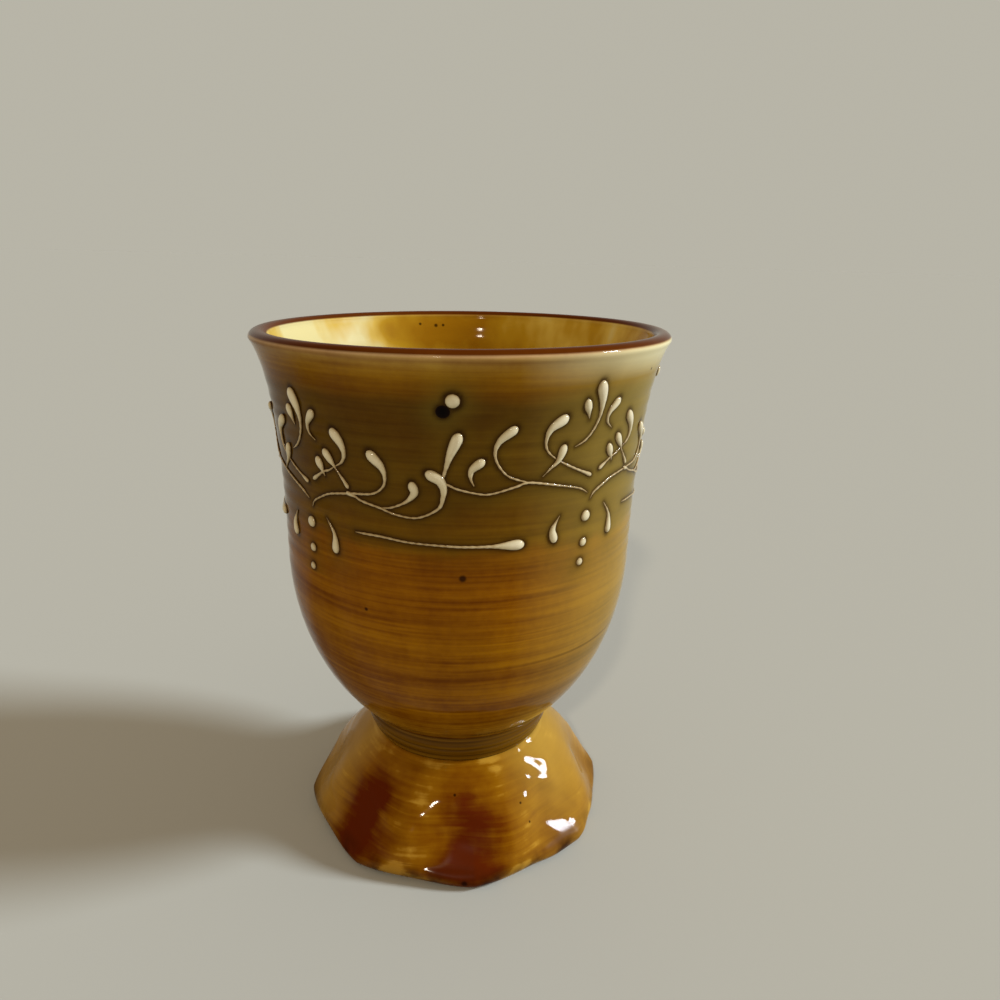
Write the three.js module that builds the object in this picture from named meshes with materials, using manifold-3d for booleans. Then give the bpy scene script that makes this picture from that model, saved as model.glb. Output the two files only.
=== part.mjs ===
// Thrown and glazed footed mug with a thumb-pressed pedestal foot and a band of trailed slip.
// Millimetres, +Z up, origin at the middle of the ring that it stands on. The front faces -Y.
import * as THREE from 'three';
import { mergeVertices } from 'three/addons/utils/BufferGeometryUtils.js';
import Module from 'manifold-3d';

const wasm = await Module();
wasm.setup();

// Heights, from the table up
const footHeight = 22;
const collarHeight = 8;
const bowlHeight = 89;

// Bowl
const rimRadius = 45;
const bodyRadius = 39.5;
const seatRadius = 23.6;
const roundHeight = 40;
const flareDepth = 10.5;
const wallThickness = 4.2;
const lipThickness = 4;
const lipCrown = 1.6;
const floorThickness = 6.5;
const spigotRadius = 10;

// Joint under the bowl
const slipThickness = 2;
const fitGap = 0.15;
const grooveDepth = 0.9;
const collarBulge = 0.3;
const collarRounding = 1.4;

// Pedestal foot
const neckRadius = 21.6;
const skirtRadius = 36.3;
const lipHeight = 4.2;
const lipBulge = 0.8;
const skirtBow = 2;
const standRadius = 35.7;
const standWidth = 6;
const footCrown = 5.5;
const footWall = 5;
const hollowRounding = 2.5;
const thumbCount = 8;
const thumbAngle = 3;
const thumbDepth = 2.4;
const hollowSkew = 1.4;
const crestSharpness = 1.7;
const lobeLead = 7;
const lobeReach = 0.9;
const lobeStart = 0.5;

// Trailed slip: gap to the wall, half widths of the strokes, and height as a share of the half width.
// One unit of the drawing of the band is bandUnit down the wall.
const slipGap = 0.25;
const bandUnit = 1;
const lineHalf = 0.32;
const budHalf = 0.95;
const leafHalf = 0.75;
const tipHalf = 0.5;
const largePearl = 1.15;
const middlePearl = 0.9;
const smallPearl = 0.8;
const dotHalf = 1.2;
const dotStep = 2.3;
const relief = 0.7;
const budTaper = 3.4;
const spanSteps = 8;
const headStation = 0.2;
const ridgeSection = [[1, 0], [0.55, 0.9], [-0.55, 0.9], [-1, 0]];

// Facets: how many round each turned piece, and their length along a curved profile
const bowlFacets = 48;
const footFacets = 80;
const collarFacets = 44;
const sleeveFacets = 32;
const pearlFacets = 7;
const bowlChord = 6.5;
const footChord = 3.6;
const collarChord = 1.8;
const pearlChord = 0.8;
const leastSteps = 4;
const samePoint = 0.01;

// Heights and radii that follow
const collarBase = footHeight;
const bowlBase = footHeight + collarHeight;
const rimHeight = bowlBase + bowlHeight;
const wallBase = bowlBase + roundHeight;
const flareKnee = rimHeight - flareDepth;
const lipBase = rimHeight - lipCrown;
const roundSpan = roundHeight / Math.sqrt(1 - (seatRadius / bodyRadius) ** 2);
const sleeveInner = spigotRadius + fitGap;
const sleeveOuter = sleeveInner + slipThickness;
const socketRadius = sleeveOuter + fitGap;
const socketBase = footHeight - footCrown;

const glaze = (color, roughness) => new THREE.MeshStandardMaterial({ color, roughness, metalness: 0 });
const finishes = {
  honey: glaze('#7a4a08', 0.12),
  olive: glaze('#4c3506', 0.14),
  amber: glaze('#8a5208', 0.12),
  clay: glaze('#a98b62', 0.8),
  slip: glaze('#e9dfc4', 0.2),
  iron: glaze('#0c0908', 0.15),
};

const mug = new THREE.Group();
const degrees = Math.PI / 180;

function place(name, geometry, material) {
  const mesh = new THREE.Mesh(geometry, material);
  mesh.name = name;
  mug.add(mesh);
  return mesh;
}

// Points of a profile, radius and height: straight runs by their ends, curves in chords of a given length.
function outline(path, chord) {
  const points = path.curves.flatMap((curve) => {
    const steps = curve.isLineCurve ? 1 : Math.max(Math.round(curve.getLength() / chord), leastSteps);
    return curve.getPoints(steps);
  });
  return points.filter((point, i) => i === 0 || point.distanceTo(points[i - 1]) > samePoint);
}

// A turned piece is its profile revolved about Z.
function turn(points, facets) {
  return new THREE.LatheGeometry(points, facets).rotateX(Math.PI / 2);
}

// Outer wall of the bowl at a height: its radius and how fast that grows with height.
// The rounded bottom is a quarter ellipse, and the wall above flares on a parabola.
function outerWall(height) {
  if (height < wallBase) {
    const down = wallBase - height;
    const radius = bodyRadius * Math.sqrt(1 - (down / roundSpan) ** 2);
    return { radius, slope: (bodyRadius / roundSpan) ** 2 * down / radius };
  }
  const bend = wallBase - 2 * flareKnee + lipBase;
  const rise = 2 * (flareKnee - wallBase);
  const along = 2 * (height - wallBase) / (rise + Math.sqrt(rise ** 2 + 4 * bend * (height - wallBase)));
  const radius = bodyRadius + (rimRadius - bodyRadius) * along ** 2;
  const slope = 2 * (rimRadius - bodyRadius) * along / (rise + 2 * bend * along);
  return { radius, slope };
}

function makeBowl() {
  const innerRadius = bodyRadius - wallThickness;
  const floorHeight = bowlBase + floorThickness;
  const seatAngle = Math.asin((roundHeight - grooveDepth) / roundSpan);
  const path = new THREE.Path();
  path.moveTo(0, socketBase);
  path.lineTo(spigotRadius, socketBase);
  path.lineTo(spigotRadius, bowlBase);
  path.lineTo(seatRadius - grooveDepth, bowlBase);
  path.absellipse(0, wallBase, bodyRadius, roundSpan, -seatAngle, 0, false);
  path.quadraticCurveTo(bodyRadius, flareKnee, rimRadius, lipBase);
  path.absellipse(rimRadius - lipThickness / 2, lipBase, lipThickness / 2, lipCrown, 0, Math.PI, false);
  path.quadraticCurveTo(innerRadius, flareKnee, innerRadius, wallBase);
  path.absellipse(0, wallBase, innerRadius, wallBase - floorHeight, 0, -Math.PI / 2, true);
  place('bowl', turn(outline(path, bowlChord), bowlFacets), finishes.honey);
}

function makeCollar() {
  const lower = neckRadius - grooveDepth;
  const upper = seatRadius - grooveDepth;
  const path = new THREE.Path();
  path.moveTo(socketRadius, collarBase);
  path.lineTo(lower, collarBase);
  path.bezierCurveTo(
    neckRadius + collarBulge, collarBase + collarRounding,
    seatRadius + collarBulge, bowlBase - collarRounding,
    upper, bowlBase,
  );
  path.lineTo(socketRadius, bowlBase);
  path.closePath();
  place('neck_collar', turn(outline(path, collarChord), collarFacets), finishes.olive);
}

function makeJoiningSlip() {
  const path = new THREE.Path();
  path.moveTo(sleeveInner, socketBase);
  path.lineTo(sleeveOuter, socketBase);
  path.lineTo(sleeveOuter, bowlBase);
  path.lineTo(sleeveInner, bowlBase);
  path.closePath();
  place('joining_slip', turn(outline(path, slipThickness), sleeveFacets), finishes.clay);
}

// How far the skin of the foot moves at an angle and a height. Each thumb hollow is deepest below the middle
// and ends in a soft crest, and below it the stand is pushed out to the corners of a soft polygon.
function thumbPress(angle, height) {
  const pitch = 2 * Math.PI / thumbCount;
  const down = 1 - height / footHeight;
  const hollow = Math.abs(Math.cos((angle - thumbAngle * degrees) * thumbCount / 2)) ** crestSharpness;
  const turned = THREE.MathUtils.euclideanModulo(angle - (thumbAngle + lobeLead) * degrees, pitch);
  const straight = 2 * (2 * turned / pitch - 1) ** 2 - 1;
  const soft = Math.cos(turned * thumbCount);
  const scoop = thumbDepth * hollow * Math.sin(Math.PI * down ** hollowSkew) ** 2;
  const lobe = lobeReach * (straight + soft) / 2 * THREE.MathUtils.smoothstep(down, lobeStart, 1);
  return lobe - scoop;
}

function makeFoot() {
  const hollowBase = standRadius - standWidth;
  const hollowTop = socketRadius + footWall;
  const inside = new THREE.Path();
  inside.moveTo(socketRadius, footHeight);
  inside.lineTo(socketRadius, socketBase);
  inside.lineTo(hollowTop - hollowRounding, socketBase);
  inside.quadraticCurveTo(hollowTop, socketBase, hollowTop + hollowRounding, socketBase - hollowRounding);
  inside.lineTo(hollowBase, 0);
  const skin = new THREE.Path();
  skin.moveTo(standRadius, 0);
  skin.quadraticCurveTo(skirtRadius + 2 * lipBulge, lipHeight / 2, skirtRadius, lipHeight);
  skin.quadraticCurveTo(
    (skirtRadius + neckRadius) / 2 + skirtBow, (lipHeight + footHeight - grooveDepth) / 2 + skirtBow,
    neckRadius, footHeight - grooveDepth,
  );
  skin.lineTo(neckRadius - grooveDepth, footHeight);
  const insidePoints = outline(inside, footChord);
  const profile = [...insidePoints, ...outline(skin, footChord), insidePoints[0]];
  const geometry = turn(profile, footFacets);
  const points = geometry.attributes.position;
  const point = new THREE.Vector3();
  for (let i = 0; i < points.count; i += 1) {
    const onSkin = i % profile.length >= insidePoints.length;
    point.fromBufferAttribute(points, i);
    const radius = Math.hypot(point.x, point.y);
    const press = onSkin ? thumbPress(Math.atan2(point.x, -point.y), point.z) : 0;
    points.setXY(i, point.x * (1 + press / radius), point.y * (1 + press / radius));
  }
  geometry.computeVertexNormals();
  place('pedestal_foot', geometry, finishes.amber);
}

// A spot on the outer wall, by degrees round from the front and millimetres below the rim.
function wallSpot(angle, drop) {
  const height = rimHeight - drop;
  const { radius, slope } = outerWall(height);
  const out = new THREE.Vector3(Math.sin(angle * degrees), -Math.cos(angle * degrees), 0);
  const normal = out.clone().addScaledVector(new THREE.Vector3(0, 0, 1), -slope).normalize();
  const point = out.multiplyScalar(radius).setZ(height).addScaledVector(normal, slipGap);
  return { point, normal };
}

// Half width of a stroke: a round head, then an easy taper to the tail.
function strokeHalf(distance, length, head) {
  if (distance < head) return head * Math.sqrt(1 - (1 - distance / head) ** 2);
  const taper = Math.min(budTaper * head, length - head);
  const left = 1 - Math.min((distance - head) / taper, 1);
  return lineHalf + (head - lineHalf) * left * left * (3 - 2 * left);
}

// One trailed stroke from its head to its tail, as a low ridge on the wall.
// The route's points are degrees and drop, laid out by the spray's own place.
function stroke(spray, route, head) {
  const perDegree = bodyRadius * degrees;
  const flat = route.map(([angle, drop]) => {
    const spot = spray(angle, drop);
    return new THREE.Vector2(spot.angle * perDegree, spot.drop);
  });
  const ahead = flat[0].clone().sub(flat[1]).setLength(head);
  const line = new THREE.SplineCurve([flat[0].clone().add(ahead), ...flat]);
  const length = line.getLength();
  // Stations at every point of the route, so that strokes meet where they share one, and at the taper's end
  const lengths = line.getLengths(route.length * spanSteps);
  const marks = lengths.filter((_, i) => i > 0 && i % spanSteps === 0);
  const taperEnd = head * (1 + budTaper);
  const alone = marks.every((mark) => Math.abs(mark - taperEnd) > head);
  if (alone && taperEnd < length) marks.push(taperEnd);
  marks.unshift(headStation * head);
  marks.sort((a, b) => a - b);
  const corners = ridgeSection.length;
  const vertices = [];
  for (const mark of marks) {
    const share = Math.min(mark / length, 1);
    const here = line.getPointAt(share);
    const near = line.getTangentAt(share).multiplyScalar(lineHalf).add(here);
    const { point, normal } = wallSpot(here.x / perDegree, here.y);
    const along = wallSpot(near.x / perDegree, near.y).point.sub(point);
    const side = normal.clone().cross(along).normalize();
    const half = strokeHalf(mark, length, head);
    for (const [across, up] of ridgeSection) {
      const corner = point.clone().addScaledVector(side, across * half);
      vertices.push(...corner.addScaledVector(normal, up * half * relief));
    }
  }
  const triangles = [];
  const last = (marks.length - 1) * corners;
  for (let ring = 0; ring < last; ring += corners) {
    for (let i = 0; i < corners; i += 1) {
      const a = ring + i;
      const b = ring + (i + 1) % corners;
      triangles.push(a, b, b + corners, a, b + corners, a + corners);
    }
  }
  triangles.push(2, 1, 0, 3, 2, 0, last, last + 1, last + 2, last, last + 2, last + 3);
  const geometry = new THREE.BufferGeometry();
  geometry.setAttribute('position', new THREE.Float32BufferAttribute(vertices, 3));
  geometry.setIndex(triangles);
  return geometry;
}

function solidOf(geometry) {
  const merged = mergeVertices(geometry);
  const vertProperties = new Float32Array(merged.attributes.position.array);
  const triVerts = new Uint32Array(merged.index.array);
  return new wasm.Manifold(new wasm.Mesh({ numProp: 3, vertProperties, triVerts }));
}

// Strokes that run into each other become one body of slip.
function joinStrokes(strokes) {
  const joined = strokes.map(solidOf).reduce((whole, part) => whole.add(part)).simplify(samePoint);
  const mesh = joined.getMesh();
  const geometry = new THREE.BufferGeometry();
  geometry.setAttribute('position', new THREE.BufferAttribute(mesh.vertProperties, 3));
  geometry.setIndex(new THREE.BufferAttribute(mesh.triVerts, 1));
  return geometry;
}

// A bead of slip, domed on a flat base that looks along the wall's normal.
function bead(name, spray, angle, drop, half, material) {
  const rise = half * relief;
  const path = new THREE.Path();
  path.moveTo(0, 0);
  path.lineTo(half, 0);
  path.absellipse(0, 0, half, rise, 0, Math.PI / 2, false);
  const mesh = place(name, turn(outline(path, pearlChord), pearlFacets), material);
  const spot = spray(angle, drop);
  const { point, normal } = wallSpot(spot.angle, spot.drop);
  mesh.position.copy(point);
  mesh.quaternion.setFromUnitVectors(new THREE.Vector3(0, 0, 1), normal);
}

// The sprays as laid by hand: degrees round from the front, how many units lower each one sits,
// the degrees from its middle to the white dot, and the side of that on which the black dot lies.
const sprays = [
  { angle: 41.5, drop: 0, dotAngle: 35, side: 1 },
  { angle: 133, drop: 1, dotAngle: 43, side: -1 },
  { angle: 224, drop: 2.2, dotAngle: 41, side: 1 },
  { angle: 316.7, drop: 3.4, dotAngle: 44.5, side: -1 },
];
const sprayPitch = 85;

// Points where strokes of slip run into each other, drawn as degrees round and units down
const cross = [16.1, 24.9];
const trunk = [41.7, 21.1];
const shoot = [64.5, 23.2];
const fork = [11.3, 20];
const tendril = [6.7, 21.4];
const branch = [8.8, 25.6];
const upperLeaf = [50.6, 24.3];
const lowerLeaf = [24.8, 27.1];
const leftFork = [-11.6, 20.4];

// Routes within one spray, head first, as degrees from its middle and units below the rim
const scrollRoutes = [
  { route: [[23.3, 17.1], [26, 19.2], [26.8, 21.3], [26, 23.1], [22.8, 24.5], cross, branch,
    [4.6, 26.7], [1.4, 27.9], [0.2, 29.2]], head: budHalf },
  { route: [trunk, [42, 24.2], [40.6, 27.2], [35.5, 28.7], [29.8, 28.3], lowerLeaf, [19.6, 26.1],
    cross], head: tipHalf },
  { route: [[39, 20.5], trunk], head: budHalf },
  { route: [[45.7, 13.8], [43.9, 16.8], [42.7, 19.6], trunk], head: budHalf },
  { route: [trunk, [45.8, 23.3], upperLeaf, [54.3, 24.6], [60.8, 23.7], shoot, [72.3, 24.5], [80.3, 26.2],
    [83.9, 27.7]], head: lineHalf },
  { route: [[59.3, 12.9], [56.1, 14.7], [55, 16.8], [56, 19.2], [59, 21.6], shoot], head: budHalf },
  { route: [[51.5, 18.5], [49.3, 19.8], [49.1, 21.4], upperLeaf], head: leafHalf },
  { route: [[34.2, 22.6], [34.6, 24], [32.3, 25.7], [28.3, 26.9], lowerLeaf], head: leafHalf },
  { route: [[12.4, 13.5], [14.2, 15.2], [15, 17.2], [14, 18.9], fork], head: budHalf },
  { route: [[8.6, 17.5], fork, [14.6, 22.8], cross], head: budHalf },
  { route: [[5.3, 19.3], tendril, branch], head: leafHalf },
  { route: [[2.6, 23.1], tendril, fork], head: tipHalf },
];
const sprigRoutes = [
  { route: [[-11.5, 12.6], [-14.5, 14.2], [-15.5, 16.6], [-14.6, 18.6], leftFork], head: budHalf },
  { route: [[-10.5, 18.2], leftFork, [-13.6, 21.8], [-15.6, 23.3]], head: budHalf },
  { route: [[-1.2, 24], [-7, 22.1], leftFork], head: tipHalf },
];
const looseRoutes = {
  crown_bud: { route: [[-1.9, 6.9], [-0.2, 9.6], [0.2, 12.4], [-1.2, 15], [-4, 17],
    [-7.2, 18.1]], head: budHalf },
  left_leaf: { route: [[-5.3, 9.9], [-4.5, 11.6], [-3.9, 13.1]], head: leafHalf },
  right_leaf: { route: [[5.1, 10.2], [2.8, 12.2], [2.8, 14], [5, 15.4]], head: leafHalf },
  dash: { route: [[62.6, 35.2], [53.8, 34.9], [46.8, 34.6], [39.8, 34.1], [32.3, 33.6], [24.8, 32.8],
    [16.8, 32.5]], head: budHalf },
  left_drop: { route: [[-11, 36], [-11.5, 34], [-9.6, 31.4]], head: leafHalf },
  right_drop: { route: [[9.4, 36.9], [9.1, 33.7], [6.2, 30.7]], head: leafHalf },
};
const pearls = {
  large_pearl: { angle: -0.9, drop: 32.5, half: largePearl },
  middle_pearl: { angle: -1, drop: 38, half: middlePearl },
  small_pearl: { angle: -1.7, drop: 42.1, half: smallPearl },
};
const whiteDotDrop = 7;
const blackDotDrop = 8.8;

function makeTrails() {
  const strokesOf = (spray, routes) => routes.map(({ route, head }) => stroke(spray, route, head));
  sprays.forEach((here, index) => {
    const next = sprays[(index + 1) % sprays.length];
    const span = THREE.MathUtils.euclideanModulo(next.angle - here.angle, 360);
    // Between two sprays the strokes stretch round and slope from one to the next.
    const spray = (angle, drop) => ({
      angle: here.angle + angle * span / sprayPitch,
      drop: bandUnit * (drop + here.drop + (next.drop - here.drop) * angle / sprayPitch),
    });
    const tag = `_${index + 1}`;
    place(`scroll${tag}`, joinStrokes(strokesOf(spray, scrollRoutes)), finishes.slip);
    place(`left_sprig${tag}`, joinStrokes(strokesOf(spray, sprigRoutes)), finishes.slip);
    for (const [name, { route, head }] of Object.entries(looseRoutes)) {
      place(name + tag, stroke(spray, route, head), finishes.slip);
    }
    for (const [name, { angle, drop, half }] of Object.entries(pearls)) {
      bead(name + tag, spray, angle, drop, half, finishes.slip);
    }
    const blackAngle = here.dotAngle + here.side * dotStep;
    bead(`white_dot${tag}`, spray, here.dotAngle, whiteDotDrop, dotHalf, finishes.slip);
    bead(`black_dot${tag}`, spray, blackAngle, blackDotDrop, dotHalf, finishes.iron);
  });
}

makeBowl();
makeCollar();
makeJoiningSlip();
makeFoot();
makeTrails();

export default mug;
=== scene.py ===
import math

import bpy
import numpy as np
from mathutils import Matrix, Vector


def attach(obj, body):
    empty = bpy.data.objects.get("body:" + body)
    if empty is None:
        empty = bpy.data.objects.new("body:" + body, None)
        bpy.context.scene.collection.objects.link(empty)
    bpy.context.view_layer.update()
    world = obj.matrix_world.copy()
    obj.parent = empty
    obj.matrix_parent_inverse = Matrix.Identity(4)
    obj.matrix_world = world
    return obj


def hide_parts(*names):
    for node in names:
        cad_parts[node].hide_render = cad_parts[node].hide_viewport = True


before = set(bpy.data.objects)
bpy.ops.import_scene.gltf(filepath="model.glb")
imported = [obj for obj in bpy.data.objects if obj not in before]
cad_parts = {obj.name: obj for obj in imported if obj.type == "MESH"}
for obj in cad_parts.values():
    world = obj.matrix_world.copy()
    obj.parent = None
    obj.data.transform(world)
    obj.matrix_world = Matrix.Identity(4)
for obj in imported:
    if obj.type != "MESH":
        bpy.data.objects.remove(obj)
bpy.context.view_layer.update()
scene = bpy.context.scene
scene.view_settings.view_transform = "Standard"
mm = 0.001
glazeIor = 1.45  # a glaze's usual refraction
print("frame loaded, nodes:", len(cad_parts))


# sRGB hex to the linear colour that shaders use
def hexColor(code):
    part = np.array([int(code[i:i + 2], 16) for i in (1, 3, 5)]) / 255
    linear = np.where(part <= 0.04045, part / 12.92, ((part + 0.055) / 1.055) ** 2.4)
    return (*linear.tolist(), 1.0)


# 0 below low, 1 above high, an easy cubic between
def ease(value, low, high):
    share = np.clip((value - low) / (high - low), 0, 1)
    return share * share * (3 - 2 * share)


# Quadratic curve from a to c pulled towards b
def bowed(a, b, c, count):
    t = np.linspace(0, 1, count)[:, None]
    return (1 - t) ** 2 * np.array(a) + 2 * t * (1 - t) * np.array(b) + t ** 2 * np.array(c)


# Profile points carried round the axis: an angle of 0 is the front and 90 degrees the right
def turned(radius, height, angle):
    return np.stack([radius * np.sin(angle), -radius * np.cos(angle), height + 0 * radius], -1)


# Grid of points in mm, rows x columns x 3, to a closed skin. Columns go round. Rows go round too where
# wrapRows is set, and otherwise the first and last rows are single points, the poles. Values become
# point attributes.
def gridMesh(name, grid, values, wrapRows=False):
    rows, columns = grid.shape[:2]
    near = np.arange(columns)
    far = (near + 1) % columns
    low = np.arange(rows)[:, None] * columns
    high = (low + columns) % (rows * columns)
    points = grid.reshape(-1, 3)
    pick = np.arange(len(points))
    if not wrapRows:
        low, high = low[1:-2] - columns + 1, high[1:-2] - columns + 1
        pick = np.concatenate([[0], pick[columns:-columns], [len(pick) - 1]])
    faces = np.stack([low + near, low + far, high + far, high + near], -1).reshape(-1, 4).tolist()
    if not wrapRows:
        end, last = 1 + (rows - 3) * columns, len(pick) - 1
        faces += np.stack([near * 0, 1 + far, 1 + near], -1).tolist()
        faces += np.stack([end + near, end + far, near * 0 + last], -1).tolist()
    mesh = bpy.data.meshes.new(name)
    mesh.from_pydata((points[pick] * mm).tolist(), [], faces)
    for key, array in values.items():
        flat = np.broadcast_to(array, (rows, columns)).reshape(-1)[pick].astype(np.float32)
        mesh.attributes.new(key, "FLOAT", "POINT").data.foreach_set("value", flat)
    mesh.shade_smooth()
    return mesh


# One piece from its meshes, with its material, in the place of a CAD node
def piece(name, meshes, material, node):
    parts = [bpy.data.objects.new(name, mesh) for mesh in meshes]
    for part in parts:
        scene.collection.objects.link(part)
    whole = parts[0]
    if len(parts) > 1:
        with bpy.context.temp_override(active_object=whole, selected_editable_objects=parts):
            bpy.ops.object.join()
    whole.data.materials.append(material)
    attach(whole, "root")
    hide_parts(node)


# One node: settings, inputs (a socket or a node's first output is linked, the rest is set), a ramp's stops
def addNode(tree, kind, inputs=None, stops=None, **settings):
    node = tree.nodes.new("ShaderNode" + kind)
    for key, value in settings.items():
        setattr(node, key, value)
    for key, value in (inputs or {}).items():
        if isinstance(value, bpy.types.Node):
            value = value.outputs[0]
        if isinstance(value, bpy.types.NodeSocket):
            tree.links.new(value, node.inputs[key])
        else:
            node.inputs[key].default_value = value
    if stops:
        ramp = node.color_ramp.elements
        while len(ramp) < len(stops):
            ramp.new(0.5)
        for element, (place, code) in zip(ramp, stops):
            element.position = place
            element.color = hexColor(code)
    return node


# Scale of a pattern along x, y and z: one over the size of its marks in mm
def patternScale(*sizes):
    return tuple(1 / (size * mm) for size in sizes)


# A new material with its shader's roughness and gloss
def startMaterial(name, roughness, gloss):
    material = bpy.data.materials.new(name)
    material.use_nodes = True
    shader = material.node_tree.nodes["Principled BSDF"]
    shader.inputs["Roughness"].default_value = roughness
    shader.inputs["IOR"].default_value = glazeIor
    shader.inputs["Specular IOR Level"].default_value = gloss
    return material, material.node_tree, shader


# Main heights in mm, shared by the pieces
mug = dict(footHeight=22, collarHeight=8, bowlHeight=89)
collarBase = mug["footHeight"]
bowlBase = collarBase + mug["collarHeight"]
rimHeight = bowlBase + mug["bowlHeight"]

# Bowl in mm: wall, lip and spigot, rows of the mesh, throwing rings, lean of the rim, glaze and painted
# shade beside the slip
bowl = dict(
    rimRadius=45, bodyRadius=39.5, seatRadius=23.6, roundHeight=40, flareDepth=10.5, wall=4.2,
    lip=4, lipCrown=1.6, lipRows=19, floor=6.5, spigot=10, spigotEdge=0.4, groove=0.9, crownDepth=5.5,
    chamferPull=0.2, chamferRows=6, seatInset=(6, 0.3),
    around=460, bandBottom=47, bandStep=0.45, lowStep=1.3, insideRows=26, floorRows=24,
    ringPitch=3.4, ringDrift=(1.3, 0.31), ringDepth=0.05, insideRing=0.14, ringFade=0.3, ringTwist=0.4,
    ringDrop=(2, 10), ringReach=(12, 24), wobble=0.12, wobbleTurn=0.6, tilt=0.65, tiltTurn=100, lift=0.25,
    haloFrom=2, halo=0.5, glow=3.5, haze=2.4, haloPower=1.3, ring=0.4, ringed="white_dot_4",
    gloss=0.05, roughness=0.07,
)
wallBase = bowlBase + bowl["roundHeight"]
lipBase = rimHeight - bowl["lipCrown"]
kneeHeight = rimHeight - bowl["flareDepth"]
roundSpan = bowl["roundHeight"] / math.sqrt(1 - (bowl["seatRadius"] / bowl["bodyRadius"]) ** 2)


# Outer wall: radius and its growth with height. Below wallBase a quarter ellipse, above it a parabola
# that leaves upright and leans out to the lip.
def outerWall(height):
    body, rim = bowl["bodyRadius"], bowl["rimRadius"]
    down = np.clip(wallBase - height, 0, None)
    low = body * np.sqrt(1 - (down / roundSpan) ** 2)
    lowSlope = (body / roundSpan) ** 2 * down / low
    up = np.clip(height - wallBase, 0, None)
    bend = wallBase - 2 * kneeHeight + lipBase
    rise = 2 * (kneeHeight - wallBase)
    along = 2 * up / (rise + np.sqrt(rise ** 2 + 4 * bend * up))
    high = body + (rim - body) * along ** 2
    highSlope = 2 * (rim - body) * along / (rise + 2 * bend * along)
    return np.where(height < wallBase, low, high), np.where(height < wallBase, lowSlope, highSlope)


# How far the wall is lifted because the rim leans: a cosine round the mug, eased in up the wall
def rimLift(turn, height):
    lean = bowl["lift"] + bowl["tilt"] * np.cos(turn - math.radians(bowl["tiltTurn"]))
    return lean * ease(height, wallBase, rimHeight)


# Spot on the wall by degrees round from the front and mm below the rim: place and outward normal
def wallSpot(angle, drop):
    turn = np.radians(angle)
    height = rimHeight - drop
    radius, slope = outerWall(height - rimLift(turn, height))
    normal = np.stack([np.sin(turn), -np.cos(turn), -slope], -1)
    return turned(radius, height, turn), normal / np.linalg.norm(normal, axis=-1, keepdims=True)


# Trailed slip in mm. Kinds give the half width of the head and how far behind its widest place most of the
# swelling is gone. A spray is its angle, its drop, the white dot's angle from its middle and the side on
# which the black dot lies.
trail = dict(
    line=0.23, step=0.26, section=18, sunk=0.35, domeRise=0.62, lineRise=0.24,
    waver=0.22, waverPitch=2.6, waverBeat=2.1, fadePower=1.9,
    kinds=dict(bud=(1.05, 3.4), crown=(1.2, 3.6), slim=(0.9, 3.5), full=(1.06, 4.2), leaf=(0.88, 2.5),
               tip=(0.44, 1.4), line=(0.23, 1)),
    noseStretch=1.35, endSteps=8, point=2.2, pointHalf=0.1,
    sprays=[(41.5, 0, 36.6, 1), (133, 1, 43, -1), (224, 2.2, 41, 1), (316.7, 3.4, 44.5, -1)], pitch=85,
    dotHalf=1.3, dotStep=2.3, whiteDrop=7, blackDrop=8.8, dotRise=0.5, ironRise=0.15,
    beadRows=21, beadSection=28, mottle=1.11, mottleShift=0.1, roughness=0.1, gloss=0.3, ironGloss=0.05,
    ramp=[(0.0, "#2c1805"), (0.07, "#775c31"), (0.18, "#a89166"), (0.4, "#c8bb94"), (0.7, "#dacfad")],
    ironRamp=[(0.0, "#1c0d06"), (0.2, "#060304")],
)
cross, shoot = (16.1, 24.9), (64.5, 23.2)
fork, tendril, branch = (11.3, 20), (6.7, 21.4), (8.8, 25.6)
upperLeaf, lowerLeaf, leftFork = (50.6, 24.3), (24.8, 27.1), (-11.6, 20.4)

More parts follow.
